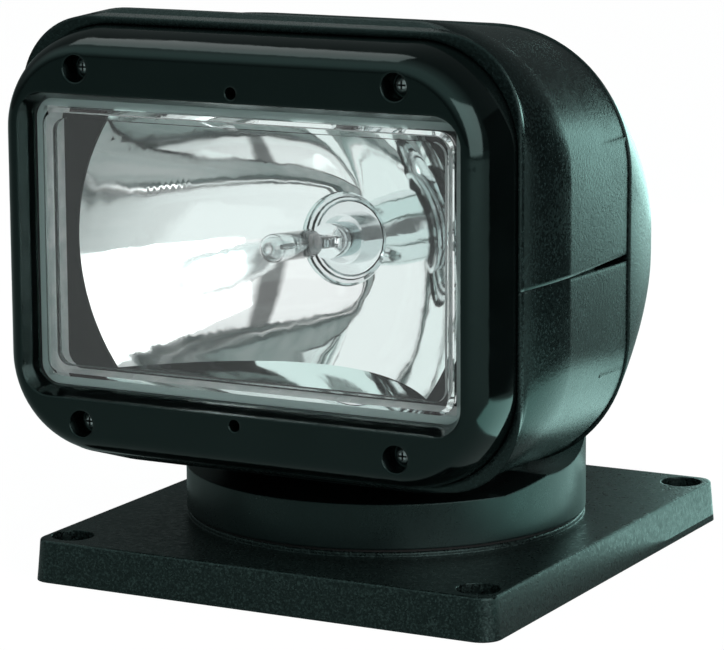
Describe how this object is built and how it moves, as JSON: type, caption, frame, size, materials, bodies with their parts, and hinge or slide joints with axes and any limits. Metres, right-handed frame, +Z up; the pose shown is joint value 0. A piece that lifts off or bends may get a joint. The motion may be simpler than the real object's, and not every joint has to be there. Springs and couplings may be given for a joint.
{
  "type": "rotating spotlight",
  "caption": "Motorised rotating spotlight: rectangular lamp head with a domed rear that pans on a drum neck over a square bolt-down base and tilts between hidden arms.",
  "frame": {"origin": "pan axis at the underside of the base", "axes": "+Z up along the pan axis; the lens faces -Y; +X is to the right when looking at the lens"},
  "size_m": [0.1782, 0.1862, 0.1814],
  "materials": {
    "cast_black": "fine speckled texture, semi-matt black",
    "shell_black": "smooth moulded, satin black",
    "bezel_black": "high gloss black",
    "inner_black": "matt black",
    "rubber_black": "smooth",
    "screw_steel": "plain bright",
    "zinc_steel": "zinc plated sheet",
    "lens_glass": "clear pressed glass",
    "bulb_glass": "clear quartz",
    "mirror_bright": "vapour coated, polished",
    "cast_arm": "as cast",
    "gear_brass": "machined",
    "gear_white": "natural acetal",
    "box_grey": "moulded grey",
    "bronze_bush": "sintered bronze",
    "motor_can": "drawn and plated",
    "holder_black": "moulded phenolic, semi-matt black"
  },
  "bodies": {
    "base": {"base_plate": "cast_black", "base_cover": "inner_black", "cover_screws": "screw_steel", "pan_spindle": "zinc_steel", "spindle_screws": "screw_steel", "thrust_washer": "gear_white", "neck_seal": "rubber_black", "pan_gear": "gear_brass", "spindle_nut": "zinc_steel"},
    "turntable": {"turntable_disc": "cast_arm", "pan_bush": "bronze_bush", "neck_shell": "shell_black", "neck_screws": "screw_steel", "yoke_arm_left": "cast_arm", "yoke_arm_right": "cast_arm", "yoke_screws": "screw_steel", "trunnion_left": "zinc_steel", "trunnion_right": "zinc_steel", "tilt_gear": "gear_brass", "pan_gearbox": "box_grey", "pan_motor": "motor_can", "pan_screws": "screw_steel"},
    "head": {"upper_shell": "shell_black", "lower_shell": "shell_black", "rear_cover": "shell_black", "rear_cover_screws": "screw_steel", "slot_liner_left": "inner_black", "slot_liner_right": "inner_black", "trunnion_bushes": "bronze_bush", "bezel": "bezel_black", "bezel_gasket": "rubber_black", "bezel_screws": "screw_steel", "lens": "lens_glass", "lens_gasket": "rubber_black", "lens_rim": "mirror_bright", "reflector_mask": "inner_black", "reflector": "mirror_bright", "lamp_clamp": "zinc_steel", "clamp_screws": "screw_steel", "bulb_capsule": "bulb_glass", "bulb_base": "motor_can", "bulb_holder": "holder_black", "bulb_clip": "zinc_steel", "tilt_gearbox": "box_grey", "tilt_motor": "motor_can", "tilt_bracket": "zinc_steel"},
    "pan_pinion_shaft": {"pan_pinion": "gear_white"},
    "tilt_pinion_shaft": {"tilt_pinion": "gear_white"}
  },
  "joints": [
    {"name": "pan", "type": "hinge", "parent": "base", "child": "turntable", "pos_m": [0, 0, 0.02], "axis": [0, 0, 1], "range_deg": [-185, 185]},
    {"name": "tilt", "type": "hinge", "parent": "turntable", "child": "head", "pos_m": [0, -0.008, 0.1055], "axis": [-1, 0, 0], "range_deg": [-5, 60]},
    {"name": "pan_pinion_spin", "type": "hinge", "parent": "turntable", "child": "pan_pinion_shaft", "pos_m": [0, 0.03, 0.025], "axis": [0, 0, 1], "range_deg": [-610, 610]},
    {"name": "tilt_pinion_spin", "type": "hinge", "parent": "head", "child": "tilt_pinion_shaft", "pos_m": [0.029, -0.008, 0.1325], "axis": [-1, 0, 0], "range_deg": [-20, 180]}
  ],
  "couplings": [
    {"joint": "pan_pinion_spin", "follows": "pan", "ratio": 3.2857},
    {"joint": "tilt_pinion_spin", "follows": "tilt", "ratio": 2.8571}
  ]
}
